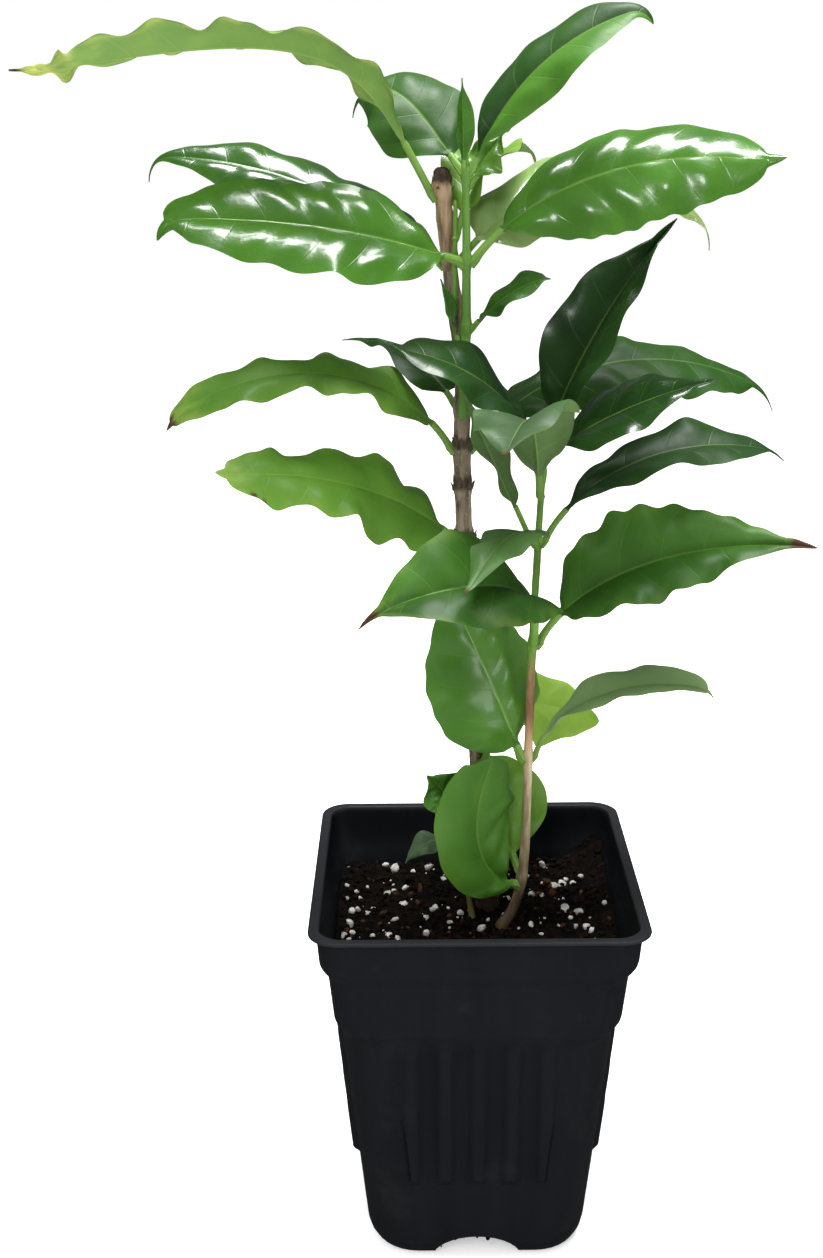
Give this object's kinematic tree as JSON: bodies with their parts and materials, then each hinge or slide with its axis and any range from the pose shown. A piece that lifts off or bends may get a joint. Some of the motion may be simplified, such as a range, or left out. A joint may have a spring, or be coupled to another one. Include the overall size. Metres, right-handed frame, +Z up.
{
  "type": "potted coffee plant",
  "caption": "Young coffee plant with upright stems and long pointed leaves, in potting mix in a tall square plastic nursery pot with a stepped rim.",
  "frame": {"origin": "middle of the pot's flat underside", "axes": "+Z up, +X to the plant's right as the picture shows it, -Y towards the picture's viewer"},
  "size_m": [0.2294, 0.1366, 0.3806],
  "materials": {
    "leaf": "glossy green upper side, paler matt underside",
    "green_stem": "smooth, satin",
    "tan_stem": "smooth, satin",
    "bark": "rough, matt",
    "pot_plastic": "moulded, satin",
    "potting_mix": "loose, matt, with white grains"
  },
  "bodies": {
    "root": {"green_leaf_1_left": "leaf", "green_leaf_1_right": "leaf", "green_leaf_2_left": "leaf", "green_leaf_2_right": "leaf", "green_leaf_4_left": "leaf", "green_leaf_4_right": "leaf", "green_leaf_5_left": "leaf", "green_leaf_5_right": "leaf", "green_shoot": "green_stem", "pot": "pot_plastic", "seedling_leaf_front": "leaf", "seedling_leaf_left": "leaf", "seedling_stem": "green_stem", "slim_leaf_2_back": "leaf", "slim_leaf_2_right": "leaf", "slim_shoot": "green_stem", "soil": "potting_mix", "woody_leaf_0_back": "leaf", "woody_leaf_0_right": "leaf", "woody_leaf_1_left": "leaf", "woody_leaf_3_left": "leaf", "woody_leaf_3_right": "leaf", "woody_leaf_4_left": "leaf", "woody_leaf_5_left": "leaf", "woody_leaf_top": "leaf", "woody_stem": "bark", "young_leaf_0_back": "leaf", "young_leaf_0_left": "leaf", "young_leaf_1_left": "leaf", "young_leaf_1_right": "leaf", "young_leaf_2_front": "leaf", "young_leaf_2_right": "leaf", "young_leaf_3_front": "leaf", "young_leaf_3_left": "leaf", "young_leaf_3_right": "leaf", "young_leaf_4_front": "leaf", "young_leaf_4_left": "leaf", "young_leaf_5_right": "leaf", "young_leaf_5_upright": "leaf", "young_stem": "tan_stem"}
  },
  "joints": []
}
